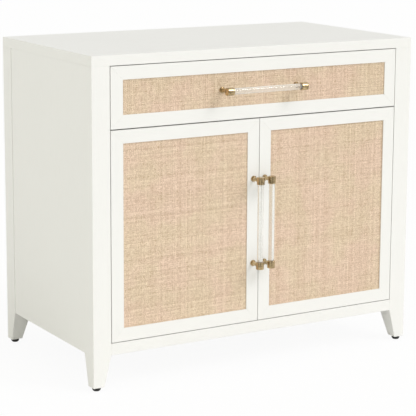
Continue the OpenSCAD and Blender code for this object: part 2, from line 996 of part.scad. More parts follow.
color(steel) left_hand() door_strike_plate();  // left_door_strike_plate
color(steel) left_hand() door_screws();  // left_door_screws
color(paint) right_hand() hinge_stile();  // right_door_hinge_stile
color(paint) right_hand() meeting_stile();  // right_door_meeting_stile
color(paint) right_hand() door_rails();  // right_door_rails
color(birch) right_hand() door_board();  // right_door_board
color(raffia_tan) right_hand() door_raffia();  // right_door_raffia
color(steel) right_hand() door_hinge_cups();  // right_door_hinge_cups
color(brass) right_hand() door_handle_ends();  // right_door_handle_ends
color(clear) right_hand() door_handle_rod();  // right_door_handle_rod
color(steel) right_hand() door_strike_plate();  // right_door_strike_plate
color(steel) right_hand() door_screws();  // right_door_screws
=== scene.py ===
"""Looks of the two-door, one-drawer cabinet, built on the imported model's frame.

The wooden, steel and white plastic pieces are copies of the frame's own nodes, most of them with eased
edges, and the boards behind the raffia are those nodes themselves. The raffia, the pulls, the glides, the
screws and the catch's magnets are worked out here as surfaces. Metres throughout.
"""

import json
import math

import bmesh
import bpy
import numpy as np
from bpy.props import FloatProperty, FloatVectorProperty, IntProperty, PointerProperty
from mathutils import Matrix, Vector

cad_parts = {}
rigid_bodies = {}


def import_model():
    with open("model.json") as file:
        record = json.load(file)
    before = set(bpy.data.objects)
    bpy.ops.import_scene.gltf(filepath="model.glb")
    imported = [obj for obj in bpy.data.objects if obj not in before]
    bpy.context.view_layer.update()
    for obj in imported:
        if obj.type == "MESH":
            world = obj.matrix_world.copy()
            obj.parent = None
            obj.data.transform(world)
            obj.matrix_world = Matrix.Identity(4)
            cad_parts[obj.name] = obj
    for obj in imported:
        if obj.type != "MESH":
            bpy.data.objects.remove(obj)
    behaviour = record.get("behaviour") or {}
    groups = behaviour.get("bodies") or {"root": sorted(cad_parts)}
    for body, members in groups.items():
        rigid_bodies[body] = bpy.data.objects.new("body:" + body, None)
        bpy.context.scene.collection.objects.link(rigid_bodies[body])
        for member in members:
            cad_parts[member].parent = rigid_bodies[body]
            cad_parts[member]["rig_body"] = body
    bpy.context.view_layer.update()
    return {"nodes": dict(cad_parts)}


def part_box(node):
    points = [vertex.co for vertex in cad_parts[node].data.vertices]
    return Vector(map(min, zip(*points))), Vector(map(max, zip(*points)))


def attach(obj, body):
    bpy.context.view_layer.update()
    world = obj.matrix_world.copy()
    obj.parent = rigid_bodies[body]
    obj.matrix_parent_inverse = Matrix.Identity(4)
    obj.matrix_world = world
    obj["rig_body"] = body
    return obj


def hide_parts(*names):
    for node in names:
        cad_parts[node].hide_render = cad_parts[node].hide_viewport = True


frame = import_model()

bl_info = {
    "name": "Painted Cabinet",
    "version": (1, 0, 0),
    "blender": (4, 5, 0),
    "location": "View3D > Sidebar > Cabinet",
    "description": "Builds the surfaces, finishes and stage of a painted cabinet with raffia panels",
    "category": "Add Mesh",
}

MM = 0.001
WELD = 1e-6                     # corners closer than this are one corner
WELD_DECIMALS = 6               # the same, as decimals of a metre
FLAT = math.radians(0.5)        # faces closer to one plane than this are one face
CREASE = math.radians(28)       # edges of turned parts sharper than this are drawn sharp
NODE_CREASE = math.radians(10)  # the same for copies of frame nodes
EASED_FROM = math.radians(30)   # edges of those copies sharper than this are rounded over
TURN_STEPS = 64                 # facets round a cap or a rod
FOOT_STEPS = 48                 # facets round the foot of a pull, a glide or a magnet's plate
SCREW_STEPS = 32                # facets round a screw
OUTSIDE_ROUGHNESS = 0.40        # of the lacquer outside
INSIDE_ROUGHNESS = 0.46         # of the lacquer inside and on the back rails
FULL_FRAME = 36                 # width of the camera's sensor in millimetres

# Which way the grain runs in each wooden node, a table for each finish
PAINTED_CARCASS = {
    "top_panel": "X", "front_left_post": "Z", "front_right_post": "Z", "rear_left_post": "Z",
    "rear_right_post": "Z", "left_side_panel": "Z", "right_side_panel": "Z",
    "front_bottom_rail": "X",
}
PAINTED_INSIDE = {
    "back_top_rail": "X", "back_bottom_rail": "X", "front_top_rail": "X", "bottom_panel": "X",
    "divider_rail": "X", "divider_panel": "X", "shelf": "X", "slide_battens": "Y",
}
PAINTED_FRONTS = {
    "drawer_front_rails": "X", "drawer_front_stiles": "Z",
    "left_door_rails": "X", "left_door_hinge_stile": "Z", "left_door_meeting_stile": "Z",
    "right_door_rails": "X", "right_door_hinge_stile": "Z", "right_door_meeting_stile": "Z",
}
BIRCH_BOARDS = {
    "back_panel": "Z", "drawer_box_front": "X", "drawer_box_back": "X", "drawer_sides": "Y",
    "drawer_bottom": "X",
}

# The other nodes. RAFFIA_PANELS and PULLS give them by body, PULLS only how their names start.
RAFFIA_BOARDS = ("drawer_front_board", "left_door_board", "right_door_board")
RAFFIA_PANELS = {"drawer": "drawer_front_raffia", "left_door": "left_door_raffia",
                 "right_door": "right_door_raffia"}
PULLS = {"drawer": "drawer_handle", "left_door": "left_door_handle", "right_door": "right_door_handle"}
SLIDE_PARTS = ("outer_slide_members", "middle_slide_members", "inner_slide_members")
BALL_CAGES = ("outer_ball_cages", "inner_ball_cages")
HINGES_AND_PINS = ("hinge_plates", "hinge_arms", "hinge_pins", "left_door_hinge_cups",
                   "right_door_hinge_cups", "left_door_strike_plate", "right_door_strike_plate",
                   "shelf_pins")
SCREW_SETS = ("cabinet_screws", "drawer_screws", "left_door_screws", "right_door_screws")

# The direction that each light of the stage shines from, and its width in degrees
LIGHTS = {
    "key": ((0.42, -0.60, 0.70), 50), "glint": ((0.50, -0.55, 0.67), 16),
    "fill": ((-0.85, -0.35, 0.4), 70),
}


# ---- Sizes and colours that a user would change ----

class CabinetPaint(bpy.types.PropertyGroup):
    outside: FloatVectorProperty(
        name="Outside", description="Colour of the lacquer outside", subtype="COLOR",
        size=4, min=0, max=1, default=(0.87, 0.868, 0.85, 1))
    inside: FloatVectorProperty(
        name="Inside", description="Colour of the lacquer inside", subtype="COLOR",
        size=4, min=0, max=1, default=(0.80, 0.79, 0.75, 1))
    easing: FloatProperty(
        name="Easing", description="How far the wood's edges are rounded over", subtype="DISTANCE",
        unit="LENGTH", min=0.0001, max=0.003, default=0.0007)
    front_easing: FloatProperty(
        name="Front easing", description="How far the edges of the mitred frames are rounded over",
        subtype="DISTANCE", unit="LENGTH", min=0.0001, max=0.002, default=0.0004)


class CabinetRaffia(bpy.types.PropertyGroup):
    pitch: FloatProperty(
        name="Pitch", description="Distance between neighbouring strands", subtype="DISTANCE",
        unit="LENGTH", min=0.002, max=0.006, default=0.0027)
    strand_width: FloatProperty(
        name="Strand width", description="Width of one strand", subtype="DISTANCE",
        unit="LENGTH", min=0.0015, max=0.005, default=0.0023)
    light: FloatVectorProperty(
        name="Light", description="Colour of the palest strands", subtype="COLOR",
        size=4, min=0, max=1, default=(0.885, 0.715, 0.565, 1))
    dark: FloatVectorProperty(
        name="Dark", description="Colour of the darkest strands", subtype="COLOR",
        size=4, min=0, max=1, default=(0.56, 0.39, 0.26, 1))
    backing: FloatVectorProperty(
        name="Backing", description="Colour of the board behind the raffia", subtype="COLOR",
        size=4, min=0, max=1, default=(0.52, 0.40, 0.27, 1))
    seed: IntProperty(
        name="Seed", description="Start of the random numbers that vary the strands", default=11)


class CabinetPulls(bpy.types.PropertyGroup):
    cap_length: FloatProperty(
        name="Cap length", description="Length of the brass cap on each end of the rod",
        subtype="DISTANCE", unit="LENGTH", default=0.019)
    cap_bore: FloatProperty(
        name="Bore depth", description="How far the rod goes into its cap",
        subtype="DISTANCE", unit="LENGTH", default=0.013)
    neck_radius: FloatProperty(
        name="Neck radius", description="Radius of the neck between cap and base",
        subtype="DISTANCE", unit="LENGTH", default=0.005)
    base_radius: FloatProperty(
        name="Base radius", description="Radius of the disc on the front",
        subtype="DISTANCE", unit="LENGTH", default=0.008)
    base_thickness: FloatProperty(
        name="Base thickness", description="Thickness of the disc on the front",
        subtype="DISTANCE", unit="LENGTH", default=0.0025)
    brass: FloatVectorProperty(
        name="Brass", description="Colour of the brass", subtype="COLOR",
        size=4, min=0, max=1, default=(0.62, 0.47, 0.27, 1))
    tarnish: FloatVectorProperty(
        name="Tarnish", description="Colour of the darker, aged brass", subtype="COLOR",
        size=4, min=0, max=1, default=(0.12, 0.095, 0.05, 1))


class CabinetHardware(bpy.types.PropertyGroup):
    easing: FloatProperty(
        name="Easing", description="How far the edges of rolled steel are rounded over",
        subtype="DISTANCE", unit="LENGTH", min=0.00005, max=0.001, default=0.0002)
    zinc: FloatVectorProperty(
        name="Zinc", description="Colour of the plated steel", subtype="COLOR",
        size=4, min=0, max=1, default=(0.62, 0.63, 0.65, 1))
    glide: FloatVectorProperty(
        name="Glide", description="Colour of the foot glides", subtype="COLOR",
        size=4, min=0, max=1, default=(0.018, 0.018, 0.018, 1))
    catch: FloatVectorProperty(
        name="Catch", description="Colour of the catch's body", subtype="COLOR",
        size=4, min=0, max=1, default=(0.82, 0.82, 0.81, 1))


class CabinetStage(bpy.types.PropertyGroup):
    camera_place: FloatVectorProperty(
        name="Camera place", description="Where the camera stands", subtype="TRANSLATION",
        unit="LENGTH", size=3, default=(-2.2215, -3.7324, 1.2855))
    turn: FloatProperty(
        name="Turn", description="How far the camera looks to the right of straight ahead",
        subtype="ANGLE", unit="ROTATION", default=math.radians(30.64))
    tilt: FloatProperty(
        name="Tilt", description="How far the camera looks down", subtype="ANGLE",
        unit="ROTATION", default=math.radians(10.32))
    roll: FloatProperty(
        name="Roll", description="How far the camera leans", subtype="ANGLE",
        unit="ROTATION", default=math.radians(0.29))
    lens: FloatProperty(
        name="Lens", description="Focal length", unit="CAMERA", default=140.45)
    shift: FloatProperty(
        name="Shift", description="Vertical shift of the camera's frame", default=-0.10)
    sky: FloatProperty(
        name="Sky", description="Brightness of the light from all round", min=0, default=0.618)
    warmth: FloatProperty(
        name="Warmth", description="How much blue the light from the left lacks", min=0, max=1,
        default=0.14)
    key: FloatProperty(
        name="Key", description="Strength of the large soft light in front", min=0, default=0.92)
    glint: FloatProperty(
        name="Glint", description="Strength of the small light that draws the highlights", min=0,
        default=0.6)
    fill: FloatProperty(
        name="Fill", description="Strength of the soft light from the left", min=0, default=0.60)
    floor_glow: FloatProperty(
        name="Floor glow", description="Share of the floor's brightness that doesn't need light",
        min=0, max=1, default=0.93)
    dark_room: FloatProperty(
        name="Dark room", description="How much darker than the sky the room's darker parts are",
        min=0, max=1, default=0.75)


GROUPS = {
    "cabinet_paint": CabinetPaint, "cabinet_raffia": CabinetRaffia, "cabinet_pulls": CabinetPulls,
    "cabinet_hardware": CabinetHardware, "cabinet_stage": CabinetStage,
}


# ---- Shader nodes ----

def add(tree, kind, inputs=None, **settings):
    """Adds a node, sets its settings, and sets or links its inputs by name or number."""
    made = tree.nodes.new(kind)
    for name, value in settings.items():
        setattr(made, name, value)
    for key, value in (inputs or {}).items():
        if isinstance(value, bpy.types.NodeSocket):
            tree.links.new(value, made.inputs[key])
        else:
            made.inputs[key].default_value = value
    return made


def sums(tree, operation, first, second):
    """A Math node of two values; either may be a socket."""
    return add(tree, "ShaderNodeMath", {0: first, 1: second}, operation=operation).outputs[0]


def spread(tree, value, low, high):
    """Carries a value from 0..1 to low..high, without clamping."""
    return add(tree, "ShaderNodeMapRange", {"Value": value, "To Min": low, "To Max": high},
               clamp=False).outputs["Result"]


def band(tree, value, from_low, from_high, low=0.0, high=1.0):
    """Carries from_low..from_high smoothly to low..high and holds the ends."""
    made = add(tree, "ShaderNodeMapRange",
               {"Value": value, "From Min": from_low, "From Max": from_high,
                "To Min": low, "To Max": high}, interpolation_type="SMOOTHSTEP")
    return made.outputs["Result"]


def blend_colours(tree, factor, first, second, how="MIX"):
    """Mixes two colours by a factor."""
    made = add(tree, "ShaderNodeMix", {0: factor, 6: first, 7: second}, data_type="RGBA",
               blend_type=how)
    return made.outputs[2]


def noise(tree, vector, scale, detail=3.0, roughness=0.55):
    """Noise from 0 to 1 at a scale in features per metre."""
    made = add(tree, "ShaderNodeTexNoise",
               {"Vector": vector, "Scale": scale, "Detail": detail, "Roughness": roughness})
    return made.outputs["Fac"]


def stretched(tree, vector, x, y, z):
    """The vector with each axis scaled."""
    return add(tree, "ShaderNodeVectorMath", {0: vector, 1: (x, y, z)},
               operation="MULTIPLY").outputs[0]


def node_group(name, inputs, outputs):
    """Starts a shader node group. inputs and outputs are {name: socket kind}."""
    tree = bpy.data.node_groups.new(name, "ShaderNodeTree")
    for socket, kind in inputs.items():
        tree.interface.new_socket(socket, in_out="INPUT", socket_type="NodeSocket" + kind)
    for socket, kind in outputs.items():
        tree.interface.new_socket(socket, in_out="OUTPUT", socket_type="NodeSocket" + kind)
    return tree, tree.nodes.new("NodeGroupInput").outputs, tree.nodes.new("NodeGroupOutput").inputs


def lacquer_group():
    """Sprayed lacquer over open-grained wood, with the grain along the vector's z.

    Long thin pores show faintly through a slightly pebbled film, and the shade drifts over the board.
    """
    tree, given, out = node_group(
        "Lacquer over grain", {"Vector": "Vector", "Colour": "Color", "Roughness": "Float"},
        {"Colour": "Color", "Roughness": "Float", "Height": "Float"})
    cream, pore_grey = (0.80, 0.80, 0.775, 1), (0.55, 0.54, 0.5, 1)
    along = stretched(tree, given["Vector"], 1, 1, 0.045)
    pores = band(tree, noise(tree, along, 520, 4, 0.62), 0.50, 0.72)
    pebble = noise(tree, given["Vector"], 420, 2)
    drift = noise(tree, given["Vector"], 2.6, 3)
    smudge = noise(tree, given["Vector"], 16, 4, 0.6)
    shaded = blend_colours(tree, spread(tree, drift, -0.1, 0.6), given["Colour"], cream, "MULTIPLY")
    shaded = blend_colours(tree, sums(tree, "MULTIPLY", drift, 0.16), given["Colour"], shaded)
    lined = blend_colours(tree, sums(tree, "MULTIPLY", pores, 0.07), shaded, pore_grey)
    tree.links.new(lined, out["Colour"])
    rough = sums(tree, "ADD", given["Roughness"], spread(tree, smudge, -0.07, 0.07))
    tree.links.new(sums(tree, "ADD", rough, sums(tree, "MULTIPLY", pores, 0.06)), out["Roughness"])
    height = sums(tree, "SUBTRACT", sums(tree, "MULTIPLY", pebble, 0.35),
                  sums(tree, "MULTIPLY", pores, 0.65))
    tree.links.new(height, out["Height"])
    return tree


def timber_group():
    """Clear-finished birch with the grain along the vector's z.

    Growth bands are a noise drawn out along the board, and fine dark flecks lie along them.
    """
    tree, given, out = node_group(
        "Birch grain", {"Vector": "Vector", "Light": "Color", "Dark": "Color"},
        {"Colour": "Color", "Roughness": "Float", "Height": "Float"})
    fleck_brown = (0.33, 0.2, 0.09, 1)
    along = stretched(tree, given["Vector"], 1, 1, 0.05)
    bands = noise(tree, stretched(tree, given["Vector"], 1, 1, 0.035), 60, 3, 0.6)
    flecks = band(tree, noise(tree, along, 640, 4, 0.65), 0.52, 0.70)
    cloud = noise(tree, along, 14, 3)
    tone = sums(tree, "ADD", spread(tree, bands, -0.2, 0.55), spread(tree, cloud, -0.15, 0.45))
    grain = blend_colours(tree, tone, given["Light"], given["Dark"])
    flecked = blend_colours(tree, sums(tree, "MULTIPLY", flecks, 0.22), grain, fleck_brown)
    tree.links.new(flecked, out["Colour"])
    tree.links.new(spread(tree, flecks, 0.42, 0.6), out["Roughness"])
    tree.links.new(spread(tree, flecks, 0.5, 0.0), out["Height"])
    return tree


def fibre_group():
    """Split leaf fibre: fine streaks along u, the strand's own tint, and a soft drift of hue over the
    panel."""
    tree, given, out = node_group(
        "Leaf fibre", {"Strand": "Vector", "Place": "Vector", "Tint": "Float", "Light": "Color",
                       "Dark": "Color"},
        {"Colour": "Color", "Roughness": "Float", "Height": "Float"})
    greener, pinker = (0.97, 1.0, 0.955, 1), (1.0, 0.978, 0.99, 1)
    streaks = noise(tree, stretched(tree, given["Strand"], 0.35, 5, 1), 1.6, 4, 0.65)
    flecks = band(tree, noise(tree, stretched(tree, given["Strand"], 0.7, 1.3, 1), 0.9, 2), 0.6, 0.74)
    tone = sums(tree, "ADD", given["Tint"], spread(tree, streaks, -0.32, 0.32))
    fibre = blend_colours(tree, sums(tree, "ADD", tone, sums(tree, "MULTIPLY", flecks, -0.25)),
                          given["Dark"], given["Light"])
    warm = noise(tree, given["Place"], 11, 3)
    hue = blend_colours(tree, band(tree, warm, 0.35, 0.65), greener, pinker)
    tree.links.new(blend_colours(tree, 1.0, fibre, hue, "MULTIPLY"), out["Colour"])
    tree.links.new(spread(tree, streaks, 0.5, 0.72), out["Roughness"])
    tree.links.new(streaks, out["Height"])
    return tree


def metal_group():
    """Turned or brushed metal, with the tool marks across the vector's z and tarnish in soft patches."""
    tree, given, out = node_group(
        "Tool marks", {"Vector": "Vector", "Metal": "Color", "Tarnish": "Color", "Amount": "Float",
                       "Roughness": "Float"},
        {"Colour": "Color", "Roughness": "Float", "Height": "Float"})
    marks = noise(tree, stretched(tree, given["Vector"], 0.03, 0.03, 1), 2600, 3, 0.7)
    patches = band(tree, noise(tree, given["Vector"], 130, 4, 0.65), 0.42, 0.68)
    specks = band(tree, noise(tree, given["Vector"], 900, 2), 0.66, 0.75)
    worn = sums(tree, "MULTIPLY", sums(tree, "ADD", patches, sums(tree, "MULTIPLY", specks, 0.5)),
                given["Amount"])
    tree.links.new(blend_colours(tree, worn, given["Metal"], given["Tarnish"]), out["Colour"])
    rough = sums(tree, "ADD", given["Roughness"], spread(tree, marks, -0.05, 0.07))
    tree.links.new(sums(tree, "ADD", rough, sums(tree, "MULTIPLY", worn, 0.18)), out["Roughness"])
    tree.links.new(marks, out["Height"])
    return tree


def handled_group():
    """Moulded or polished plastic: a fine pebble, faint hairline scratches and soft smudges."""
    tree, given, out = node_group(
        "Handling marks", {"Vector": "Vector", "Colour": "Color", "Roughness": "Float",
                           "Smudges": "Float"},
        {"Colour": "Color", "Roughness": "Float", "Height": "Float"})
    rubbed = (0.93, 0.93, 0.93, 1)
    smudge = band(tree, noise(tree, given["Vector"], 45, 4, 0.6), 0.38, 0.7)
    pebble = noise(tree, given["Vector"], 1500, 2)
    scratch = band(tree, noise(tree, stretched(tree, given["Vector"], 1, 1, 0.06), 900, 2, 0.7),
                   0.66, 0.74)
    marks = sums(tree, "ADD", smudge, sums(tree, "MULTIPLY", scratch, 0.6))
    rough = sums(tree, "ADD", given["Roughness"], sums(tree, "MULTIPLY", marks, given["Smudges"]))
    tree.links.new(rough, out["Roughness"])
    duller = blend_colours(tree, 1.0, given["Colour"], rubbed, "MULTIPLY")
    tree.links.new(blend_colours(tree, smudge, given["Colour"], duller), out["Colour"])
    tree.links.new(sums(tree, "SUBTRACT", pebble, scratch), out["Height"])
    return tree


def shared(name, make):
    """The node group of that name, made the first time it is asked for."""
    return bpy.data.node_groups.get(name) or make()


def place_group(tree, group, inputs):
    """Puts a node group into a material and returns its outputs."""
    return add(tree, "ShaderNodeGroup", inputs, node_tree=group).outputs


def object_vector(tree, grain):
    """Object coordinates turned so that the grain's axis becomes z."""
    turn = {"X": (0, math.pi / 2, 0), "Y": (math.pi / 2, 0, 0), "Z": (0, 0, 0)}[grain]
    place = tree.nodes.new("ShaderNodeTexCoord").outputs["Object"]
    return add(tree, "ShaderNodeMapping", {"Vector": place, "Rotation": turn}).outputs["Vector"]


def bare_finish(name, constants):
    """A new material holding a Principled BSDF with those values on its own sockets."""
    made = bpy.data.materials.new(name)
    made.use_nodes = True
    tree = made.node_tree
    tree.nodes.clear()
    shader = add(tree, "ShaderNodeBsdfPrincipled", constants)
    add(tree, "ShaderNodeOutputMaterial", {"Surface": shader.outputs[0]})
    return made, tree, shader


def wire(tree, shader, outputs, relief):
    """Feeds a group's colour, roughness and height to the shader; relief is the height in metres."""
    tree.links.new(outputs["Colour"], shader.inputs["Base Color"])
    tree.links.new(outputs["Roughness"], shader.inputs["Roughness"])
    bump = add(tree, "ShaderNodeBump",
               {"Strength": 0.6, "Distance": relief, "Height": outputs["Height"]})
    tree.links.new(bump.outputs[0], shader.inputs["Normal"])


def finish(name, group, inputs, grain, relief, constants):
    """The material of that name, made the first time it is asked for: a group on the object's own
    coordinates, with the grain along one axis, feeds a Principled BSDF."""
    if name in bpy.data.materials:
        return bpy.data.materials[name]
    made, tree, shader = bare_finish(name, constants)
    outputs = place_group(tree, group, {"Vector": object_vector(tree, grain), **inputs})
    wire(tree, shader, outputs, relief)
    return made


def lacquer(name, colour, roughness, grain):
    """White lacquer with the wood's grain faintly through it."""
    return finish(f"{name} {grain.lower()}", shared("Lacquer over grain", lacquer_group),
                  {"Colour": colour, "Roughness": roughness}, grain, relief=0.12 * MM,
                  constants={"Specular IOR Level": 0.42})


def birch(grain):
    """Clear-lacquered birch board."""
    return finish(f"Clear birch {grain.lower()}", shared("Birch grain", timber_group),
                  {"Light": (0.74, 0.57, 0.37, 1), "Dark": (0.58, 0.40, 0.22, 1)}, grain,
                  relief=0.1 * MM, constants={"Coat Weight": 0.15, "Coat Roughness": 0.3})


def backing_board(colour):
    """The tan board that the raffia is glued to, dark enough that the gaps between strands read."""
    darker = tuple(0.8 * c for c in colour[:3]) + (1,)
    return finish("Raffia backing", shared("Birch grain", timber_group),
                  {"Light": colour, "Dark": darker}, "Z", relief=0.1 * MM,
                  constants={"Specular IOR Level": 0.3})


def raffia_fibre(settings):
    """Natural raffia strand: the strand's UV map carries the streaks, its tint attribute the shade."""
    made, tree, shader = bare_finish("Raffia fibre", {"Specular IOR Level": 0.35, "Sheen Weight": 0.08,
                                                      "Sheen Roughness": 0.5})
    strand = add(tree, "ShaderNodeUVMap", uv_map="strand").outputs["UV"]
    tint = add(tree, "ShaderNodeAttribute", attribute_name="tint").outputs["Fac"]
    place = tree.nodes.new("ShaderNodeTexCoord").outputs["Object"]
    outputs = place_group(tree, shared("Leaf fibre", fibre_group),
                          {"Strand": strand, "Place": place, "Tint": tint,
                           "Light": settings.light, "Dark": settings.dark})
    wire(tree, shader, outputs, relief=0.1 * MM)
    return made


def metal(name, colour, tarnish, amount, roughness, across):
    """Plain metal with its tool marks across one axis."""
    return finish(f"{name} {across.lower()}", shared("Tool marks", metal_group),
                  {"Metal": colour, "Tarnish": tarnish, "Amount": amount, "Roughness": roughness},
                  across, relief=0.02 * MM, constants={"Metallic": 1.0})


def plastic(name, colour, roughness, smudges, relief, constants):
    """Moulded or cast plastic."""
    return finish(name, shared("Handling marks", handled_group),
                  {"Colour": colour, "Roughness": roughness, "Smudges": smudges}, "Z", relief,
                  constants)


def zinc(across="Z"):
    """Zinc-plated steel."""
    hardware = bpy.context.scene.cabinet_hardware
    return metal("Zinc plated steel", hardware.zinc, tarnish=(0.38, 0.39, 0.42, 1), amount=0.5,
                 roughness=0.3, across=across)


# ---- Meshes ----

def new_mesh(name, points, faces):
    """A smooth mesh of those points (n, 3) and four-cornered faces (m, 4)."""
    made = bpy.data.meshes.new(name)
    made.vertices.add(len(points))
    made.vertices.foreach_set("co", np.asarray(points, np.float32).ravel())
    made.loops.add(faces.size)
    made.loops.foreach_set("vertex_index", faces.astype(np.int32).ravel())
    made.polygons.add(len(faces))
    made.polygons.foreach_set("loop_start", np.arange(0, faces.size, faces.shape[1], dtype=np.int32))
    made.update(calc_edges=True)
    made.shade_smooth()
    return made


def grid_faces(rows, columns, around=False):
    """Quads between neighbouring rows and columns; around joins the last column to the first."""
    row, column = np.meshgrid(np.arange(rows - 1), np.arange(columns if around else columns - 1),
                              indexing="ij")
    after = (column + 1) % columns
    corners = (row * columns + column, row * columns + after,
               (row + 1) * columns + after, (row + 1) * columns + column)
    return np.stack(corners, axis=-1).reshape(-1, 4)


def joined(parts):
    """One list of points and one of faces from several (points, faces)."""
    starts = np.cumsum([0] + [len(points) for points, _ in parts[:-1]])
    return (np.concatenate([points for points, _ in parts]),
            np.concatenate([faces + start for (_, faces), start in zip(parts, starts)]))


def turned(profile, steps=TURN_STEPS):
    """A turned shape about z: each profile point (r, h) is carried round to (r cos a, r sin a, h).

    The profile runs from the lower pole outwards and up to the upper pole, so the faces point outwards.
    """
    radius, height = np.asarray(profile, float).T[:, :, None]
    angle = np.linspace(0, 2 * math.pi, steps, endpoint=False)[None, :]
    points = np.stack((radius * np.cos(angle), radius * np.sin(angle), height + 0 * angle), axis=-1)
    return points.reshape(-1, 3), grid_faces(len(profile), steps, around=True)


def rounded(corners, radii, steps=4):
    """A profile whose corners are rounded off by radii, one for each corner between its two ends.

    Corner c becomes steps + 1 points of the curve (1 - s)^2 a + 2 s (1 - s) c + s^2 b, where a and b lie
    one radius before and after c on the profile.
    """
    corners = np.asarray(corners, float)
    made = [corners[:1]]
    share = np.linspace(0, 1, steps + 1)[:, None]
    for before, corner, after, radius in zip(corners, corners[1:], corners[2:], radii):
        if radius == 0:
            made.append(corner[None])
            continue
        first = corner + radius * (before - corner) / np.linalg.norm(before - corner)
        last = corner + radius * (after - corner) / np.linalg.norm(after - corner)
        made.append((1 - share) ** 2 * first + 2 * share * (1 - share) * corner + share ** 2 * last)
    return np.concatenate(made + [corners[-1:]])


def moved(part, axes, centre):
    """The part with its own x, y and z laid along three directions and its origin at centre."""
    points, faces = part
    return points @ np.asarray(axes, float) + np.asarray(centre, float), faces


def show(name, mesh, body, material, stands_for=()):
    """Puts a finished mesh into the scene on its body, with its finish, in place of the frame nodes
    that it stands for."""
    piece = bpy.data.objects.new(name, mesh)
    bpy.context.scene.collection.objects.link(piece)
    mesh.materials.append(material)
    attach(piece, body)
    if stands_for:
        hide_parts(*stands_for)
    return piece


def closed_mesh(name, parts):
    """A mesh of turned parts with their poles closed and their sharp edges kept."""
    made = new_mesh(name, *joined(parts))
    shell = bmesh.new()
    shell.from_mesh(made)
    bmesh.ops.remove_doubles(shell, verts=shell.verts, dist=WELD)
    shell.to_mesh(made)
    shell.free()
    made.set_sharp_from_angle(angle=CREASE)
    return made


def node_points(node):
    """A frame node's corners (n, 3) and triangles (m, 3), with corners in one place made one."""
    mesh = frame["nodes"][node].data
    corners = np.zeros(len(mesh.vertices) * 3, np.float32)
    mesh.vertices.foreach_get("co", corners)
    mesh.calc_loop_triangles()
    triangles = np.zeros(len(mesh.loop_triangles) * 3, np.int32)
    mesh.loop_triangles.foreach_get("vertices", triangles)
    points, index = np.unique(np.round(corners.reshape(-1, 3).astype(float), WELD_DECIMALS), axis=0,
                              return_inverse=True)
    return points, index.ravel()[triangles].reshape(-1, 3)


def solids_of(node):
    """The points of each separate solid in a node: corners that share a triangle get the lowest
    number among them, over and over, until nothing changes."""
    points, triangles = node_points(node)
    label = np.arange(len(points))
    while True:
        lower = label.copy()
        np.minimum.at(lower, triangles.ravel(), np.repeat(label[triangles].min(axis=1), 3))
        lower = lower[lower]
        if (lower == label).all():
            return [points[label == one] for one in np.unique(label)]
        label = lower


def eased(node, material, easing):
    """A copy of a frame node, merged into whole faces, with its edges rounded over by easing, or left
    as they are where that is 0."""
    mesh = bpy.data.meshes.new("eased_" + node)
    points, triangles = node_points(node)
    mesh.from_pydata(points.tolist(), [], triangles.tolist())
    shell = bmesh.new()
    shell.from_mesh(mesh)
    bmesh.ops.remove_doubles(shell, verts=shell.verts, dist=WELD)
    bmesh.ops.dissolve_limit(shell, angle_limit=FLAT, verts=shell.verts, edges=shell.edges)
    shell.to_mesh(mesh)
    shell.free()
    mesh.shade_smooth()
    mesh.set_sharp_from_angle(angle=NODE_CREASE)
    piece = show("eased_" + node, mesh, frame["nodes"][node]["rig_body"], material, (node,))
    if easing:
        bevel = piece.modifiers.new("Eased edges", "BEVEL")
        bevel.width = easing
        bevel.segments = 2
        bevel.limit_method = "ANGLE"
        bevel.angle_limit = EASED_FROM
        bevel.use_clamp_overlap = False
        bevel.harden_normals = True
    return piece


# ---- Raffia ----

